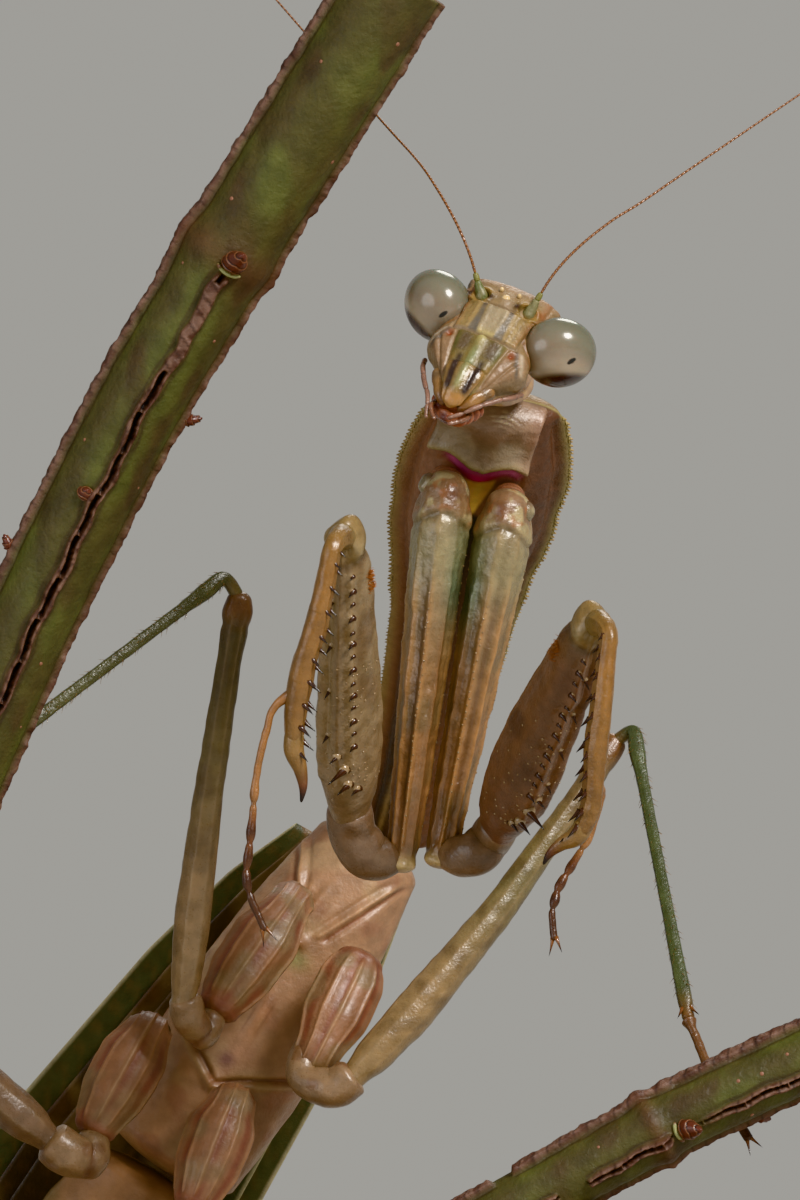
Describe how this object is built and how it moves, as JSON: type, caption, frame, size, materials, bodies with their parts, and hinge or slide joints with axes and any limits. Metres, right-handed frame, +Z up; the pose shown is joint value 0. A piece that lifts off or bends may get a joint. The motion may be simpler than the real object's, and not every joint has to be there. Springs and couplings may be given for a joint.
{
  "type": "praying mantis",
  "caption": "Life-size praying mantis, head up, forelegs folded, its feet gripping two cut lengths of winged twig held by thin rods on a round display base.",
  "frame": {"origin": "centre of the stand's underside, on the floor", "axes": "+Z up; the mantis's underside and the picture's camera face -Y; its own left side is at +X; its head is up and its abdomen tip is low at -X"},
  "size_m": [0.08, 0.08, 0.1078],
  "materials": {
    "head_and_shield": "satin tan shell",
    "eye": "glossy grey-green",
    "feeler_and_foot": "orange-brown",
    "foreleg": "satin tan and olive shell",
    "walking_leg": "olive brown",
    "underside": "pinkish tan",
    "wing": "dark green with a cream edge",
    "twig": "green bark with corky ridges",
    "base_wood": "dark satin wood",
    "rod": "satin"
  },
  "bodies": {
    "root": {"head": "head_and_shield", "eye_left": "eye", "eye_right": "eye", "mouthparts": "head_and_shield", "palp_left": "head_and_shield", "palp_right": "head_and_shield", "antenna_left": "feeler_and_foot", "antenna_right": "feeler_and_foot", "neck": "underside", "prothorax": "head_and_shield", "pterothorax": "underside", "abdomen": "underside", "cercus_left": "underside", "cercus_right": "underside", "hindwing_left": "wing", "hindwing_right": "wing", "tegmen_left": "wing", "tegmen_right": "wing", "forecoxa_left": "foreleg", "forecoxa_right": "foreleg", "foretrochanter_left": "foreleg", "foretrochanter_right": "foreleg", "forefemur_left": "foreleg", "forefemur_right": "foreleg", "foretibia_left": "foreleg", "foretibia_right": "foreleg", "foretarsus_left": "feeler_and_foot", "foretarsus_right": "feeler_and_foot", "midleg_left_coxa": "underside", "midleg_left_trochanter": "walking_leg", "midleg_left_femur": "walking_leg", "midleg_left_tibia": "walking_leg", "midleg_left_tarsus": "feeler_and_foot", "midleg_right_coxa": "underside", "midleg_right_trochanter": "walking_leg", "midleg_right_femur": "walking_leg", "midleg_right_tibia": "walking_leg", "midleg_right_tarsus": "feeler_and_foot", "hindleg_left_coxa": "underside", "hindleg_left_trochanter": "walking_leg", "hindleg_left_femur": "walking_leg", "hindleg_left_tibia": "walking_leg", "hindleg_left_tarsus": "feeler_and_foot", "hindleg_right_coxa": "underside", "hindleg_right_trochanter": "walking_leg", "hindleg_right_femur": "walking_leg", "hindleg_right_tibia": "walking_leg", "hindleg_right_tarsus": "feeler_and_foot", "perch_stem_left": "twig", "perch_stem_right": "twig", "stand_base": "base_wood", "stand_rod_left": "rod", "stand_rod_right": "rod"}
  },
  "joints": []
}
